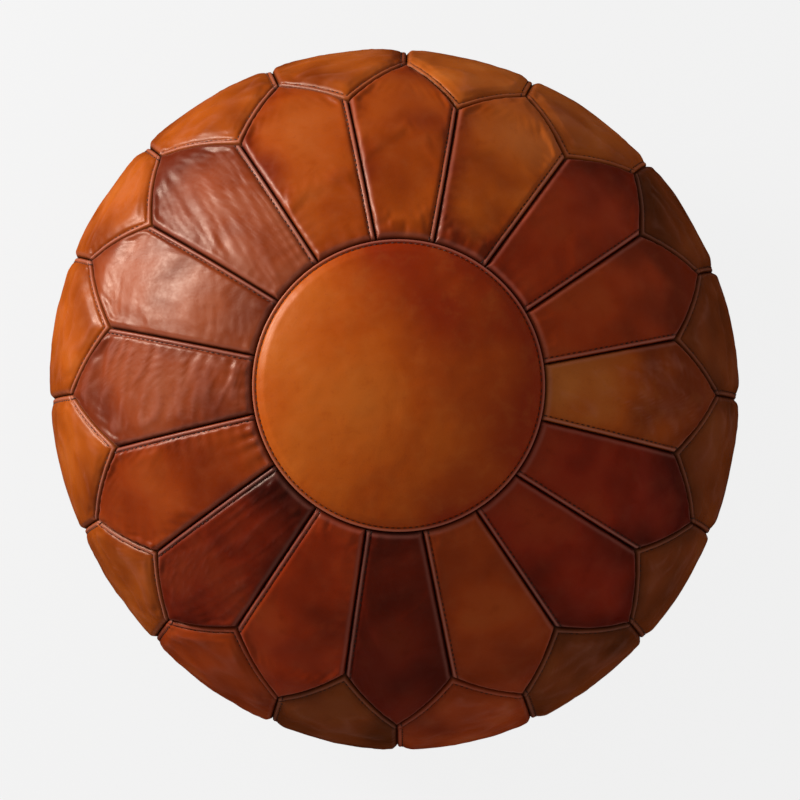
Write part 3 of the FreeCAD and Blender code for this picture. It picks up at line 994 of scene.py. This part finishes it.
class Nodes:
    """A short way to write a node tree."""

    def __init__(self, tree):
        self.tree = tree

    def put(self, target, value):
        if isinstance(value, bpy.types.NodeSocket):
            self.tree.links.new(value, target)
        else:
            target.default_value = value

    def add(self, kind, settings, **inputs):
        node = self.tree.nodes.new("ShaderNode" + kind)
        for key, value in settings.items():
            setattr(node, key, value)
        for key, value in inputs.items():
            self.put(node.inputs[key.replace("_", " ")], value)
        return node

    def noise(self, place, scale, detail=3.0, rough=0.55, distort=0.0):
        settings = {"Vector": place, "Scale": scale, "Detail": detail}
        settings |= {"Roughness": rough, "Distortion": distort}
        return self.add("TexNoise", {}, **settings).outputs[0]

    def math(self, operation, a, b=0.0):
        node = self.add("Math", {"operation": operation})
        self.put(node.inputs[0], a)
        self.put(node.inputs[1], b)
        return node.outputs[0]

    def range(self, value, low, high, to_low=0.0, to_high=1.0):
        ends = {"From Min": low, "From Max": high, "To Min": to_low, "To Max": to_high}
        return self.add("MapRange", {"clamp": True}, Value=value, **ends).outputs[0]

    def mix(self, factor, a, b, blend="MIX"):
        node = self.add("Mix", {"data_type": "RGBA", "blend_type": blend})
        for index, value in ((0, factor), (6, a), (7, b)):
            self.put(node.inputs[index], value)
        return node.outputs[2]

    def bump(self, height, strength, distance, normal=None):
        inputs = {"Height": height, "Strength": strength, "Distance": distance}
        if normal is not None:
            inputs["Normal"] = normal
        return self.add("Bump", {}, **inputs).outputs[0]

    def attribute(self, name):
        return self.add("Attribute", {"attribute_name": name}).outputs["Fac"]

    def place(self, scale=(1, 1, 1)):
        where = self.add("TexCoord", {}).outputs["Object"]
        return self.add("Mapping", {}, Vector=where, Scale=scale).outputs[0]


class Material(Nodes):
    """A material's node tree, with one shader."""

    def __init__(self, name):
        self.material = bpy.data.materials.new(name)
        self.material.use_nodes = True
        super().__init__(self.material.node_tree)
        self.tree.nodes.clear()
        self.shader = self.add("BsdfPrincipled", {})
        self.add("OutputMaterial", {}, Surface=self.shader.outputs[0])

    def shade(self, **inputs):
        for key, value in inputs.items():
            self.put(self.shader.inputs[key.replace("_", " ")], value)


HIDE_SPECULAR = 0.28
WAX_TINT = (1, 0.74, 0.56, 1)
RUBBED_AND_HIGHLIGHT = "B87868"  # where edges and folds are rubbed pale, and a painted pink highlight on welts and rolled edges


@cache
def hide_material(tone):
    """Waxed hide: mottled colour with painted light, darker towards the seams with a painted shade
    in their grooves, worn on its welts and folds with a painted highlight, with fine grain.
    """
    n = Material("hide_" + tone)
    deep, middle, worn = (linear(code) for code in TONES[tone])
    place = n.place()
    mottle = n.noise(place, 75, 4, 0.6, 0.2)
    speck = n.noise(place, 420, 2, 0.5)
    gap, wear_and_highlight, dye_and_light = (n.attribute(name) for name in ("seam_gap", "wear_and_highlight", "dye_and_light"))
    colour = n.mix(n.range(dye_and_light, 0.1, 0.6), deep, middle)
    colour = n.mix(n.range(dye_and_light, 0.55, 1.1, 0, 0.45), colour, worn)
    colour = n.mix(n.range(mottle, 0.50, 0.80, 0, 0.12), colour, worn)
    colour = n.mix(n.range(mottle, 0.42, 0.20, 0, 0.30), colour, deep)
    colour = n.mix(n.range(speck, 0.62, 0.75, 0, 0.15), colour, deep)
    # Rubbed pale: wear on welts, rolled edges and fold crests, with a painted highlight
    colour = n.mix(n.range(wear_and_highlight, 0.0, 1.0, 0, 0.7), colour, linear(RUBBED_AND_HIGHLIGHT))
    # Darker towards the seams, and a painted shade, near black, down in each seam's groove
    colour = n.mix(n.range(gap, 5.0, 16.0, 0.22, 0), colour, deep)
    colour = n.mix(n.range(gap, 0.3, 1.8, 0.9, 0), colour, linear("1E0502"))
    rough = n.math("ADD", n.range(mottle, 0.3, 0.7, 0.31, 0.42), n.range(speck, 0.4, 0.6, 0, 0.05))
    grain = n.add("TexVoronoi", {"feature": "DISTANCE_TO_EDGE"}, Vector=place, Scale=900)
    fine = n.bump(grain.outputs["Distance"], 0.3, 0.0002)
    n.shade(Base_Color=colour, Roughness=rough, Normal=n.bump(mottle, 0.15, 0.001, fine))
    n.shade(Specular_IOR_Level=HIDE_SPECULAR, Specular_Tint=WAX_TINT)
    return n.material


@cache
def thread_material():
    """Waxed brown thread, twisted."""
    n = Material("waxed_thread")
    place = n.place()
    twist = n.add("TexWave", {"bands_direction": "DIAGONAL"}, Vector=place, Scale=900.0)
    shade = n.mix(n.noise(place, 160), linear("2A0D05"), linear("5A2A12"))
    n.shade(Base_Color=n.mix(0.3, shade, twist.outputs[0], "MULTIPLY"), Roughness=0.6)
    n.shade(Normal=n.bump(twist.outputs["Fac"], 0.6, 0.0002))
    return n.material


@cache
def wadding_material():
    """Cotton wadding: off-white, matted and fibrous, with a painted shade, dark brown, over the
    well behind the zip.
    """
    n = Material("cotton_wadding")
    place = n.place()
    tufts, fibres = n.noise(place, 60, 5, 0.7, 1.2), n.noise(place, 700, 3, 0.6, 2.0)
    cotton = n.mix(tufts, linear("B9A98C"), linear("E9E0CE"))
    # Painted shade: dark brown over the well behind the zip
    painted_zip_shade = n.range(n.attribute("painted_zip_shade"), 0.05, 0.2)
    n.shade(Base_Color=n.mix(painted_zip_shade, cotton, linear("2E1C12")), Roughness=0.95)
    n.shade(Normal=n.bump(fibres, 0.6, 0.0006, n.bump(tufts, 0.5, 0.003)))
    return n.material


@cache
def tape_material():
    """Brown zip tape in a herringbone twill."""
    n = Material("zip_tape_twill")
    place = n.place()
    warp = n.add("TexWave", {"bands_direction": "X"}, Vector=place, Scale=550.0)
    weft = n.add("TexWave", {"bands_direction": "DIAGONAL"}, Vector=place, Scale=700.0)
    weave = n.math("MULTIPLY", warp.outputs["Fac"], weft.outputs["Fac"])
    tint = n.mix(n.range(n.noise(place, 90), 0.35, 0.65), linear("2A160C"), linear("4A2A18"))
    n.shade(Base_Color=n.mix(n.range(weave, 0, 1, 0.35, 0), tint, linear("120804")))
    n.shade(Roughness=0.85, Sheen_Weight=0.3, Normal=n.bump(weave, 0.8, 0.0003))
    return n.material


@cache
def brass_material():
    """Antique brass: tarnished in patches and finely scratched along the zip."""
    n = Material("antique_brass")
    tarnish = n.noise(n.place(), 140, 4, 0.6, 0.4)
    scratch = n.noise(n.place((1, 0.3, 1)), 9000, 2)
    tone = n.mix(n.range(tarnish, 0.45, 0.75), linear("D0A558"), linear("97703A"))
    rough = n.range(tarnish, 0.3, 0.7, 0.26, 0.38)
    rough = n.math("ADD", rough, n.range(scratch, 0.4, 0.6, 0, 0.06))
    n.shade(Base_Color=tone, Metallic=1.0, Roughness=rough, Normal=n.bump(scratch, 0.1, 0.00005))
    return n.material


# ---------------------------------------------------------------- stage


FLOOR_HALF = 9
FLOOR_GLOW = 0.855
BACKDROP = 0.86
GLOSS_OF_WORLD = 0.10  # how bright the pieces mirror the world, against the light it gives
HORIZON = (-0.05, 0.05)
WORLD_LEVELS = (0.02, 0.42)  # how bright the world is below and above the horizon
KEY_PLACE = (-1.31, 0.75, 0.66)
KEY_SIZE = 0.45
KEY_POWER = 32
AIM = (0.0044, -0.0036, EQUATOR_Z)
CAMERA_DISTANCE = 2.3
CAMERA_ELEVATION = 86.8
FRAME_FILL = 0.873  # the pouf's radius as a share of half the picture's width


def build_floor():
    corners = np.array([(-1, -1, 0), (1, -1, 0), (1, 1, 0), (-1, 1, 0)]) * FLOOR_HALF
    floor = mesh_object("floor", corners, [(0, 1, 2, 3)])
    n = Material("pale_floor")
    n.shade(Base_Color=(0.04, 0.04, 0.04, 1), Roughness=1.0, Specular_IOR_Level=0.0)
    n.shade(Emission_Color=(1, 1, 1, 1), Emission_Strength=FLOOR_GLOW)
    floor.data.materials.append(n.material)
    floor.visible_glossy = False


def lamp(name, place, size, power):
    data = bpy.data.lights.new(name, "AREA")
    data.size = size
    data.energy = power
    obj = bpy.data.objects.new(name, data)
    bpy.context.scene.collection.objects.link(obj)
    obj.location = place
    aim = Vector(HUB) - obj.location
    obj.rotation_euler = aim.to_track_quat("-Z", "Y").to_euler()


def light_scene():
    """A near soft key from the left, low down, and an even world above the horizon.

    Seen directly the world is plain and pale all round, and the pieces mirror it dimly.
    """
    lamp("key", KEY_PLACE, KEY_SIZE, KEY_POWER)
    world = bpy.data.worlds.new("studio")
    bpy.context.scene.world = world
    world.use_nodes = True
    n = Nodes(world.node_tree)
    where = n.add("TexCoord", {}).outputs["Generated"]
    rise = n.add("SeparateXYZ", {}, Vector=where).outputs["Z"]
    path = n.add("LightPath", {}).outputs
    gloss = n.range(path["Is Glossy Ray"], 0, 1, 1, GLOSS_OF_WORLD)
    level = n.math("MULTIPLY", n.range(rise, *HORIZON, *WORLD_LEVELS), gloss)
    seen = n.add("Mix", {}, Factor=path["Is Camera Ray"], A=level, B=BACKDROP)
    background = n.tree.nodes["Background"].inputs
    n.put(background["Color"], (1, 1, 1, 1))
    n.put(background["Strength"], seen.outputs["Result"])
    bpy.context.scene.view_settings.view_transform = "Standard"


def place_camera():
    data = bpy.data.cameras.new("camera")
    obj = bpy.data.objects.new("camera", data)
    bpy.context.scene.collection.objects.link(obj)
    aim = Vector(AIM)
    tilt = math.radians(CAMERA_ELEVATION)
    back = Vector((0, -math.cos(tilt), math.sin(tilt)))
    obj.location = aim + back * CAMERA_DISTANCE
    obj.rotation_mode = "QUATERNION"
    obj.rotation_quaternion = (-back).to_track_quat("-Z", "Y")
    half = EQUATOR_R / math.sqrt(CAMERA_DISTANCE**2 - DOME_HEIGHT**2) / FRAME_FILL
    data.lens = data.sensor_width / 2 / half
    bpy.context.scene.camera = obj


def main():
    place_camera()
    light_scene()
    build_floor()
    grooves = build_panels(make_panels(corner_rays()))
    top_lines = build_top_disc() + grooves["top_petal"]
    base_lines = grooves["bottom_petal"]
    base_lines += build_base_half("bottom_disc_left", -1)
    base_lines += build_base_half("bottom_disc_right", 1)
    build_stitches("stitching_top", top_lines)
    build_stitches("stitching_sides", grooves["side_panel"])
    build_stitches("stitching_base", base_lines)
    build_stuffing()
    build_tape("zip_tape_left")
    build_tape("zip_tape_right")
    dress_metal()


main()
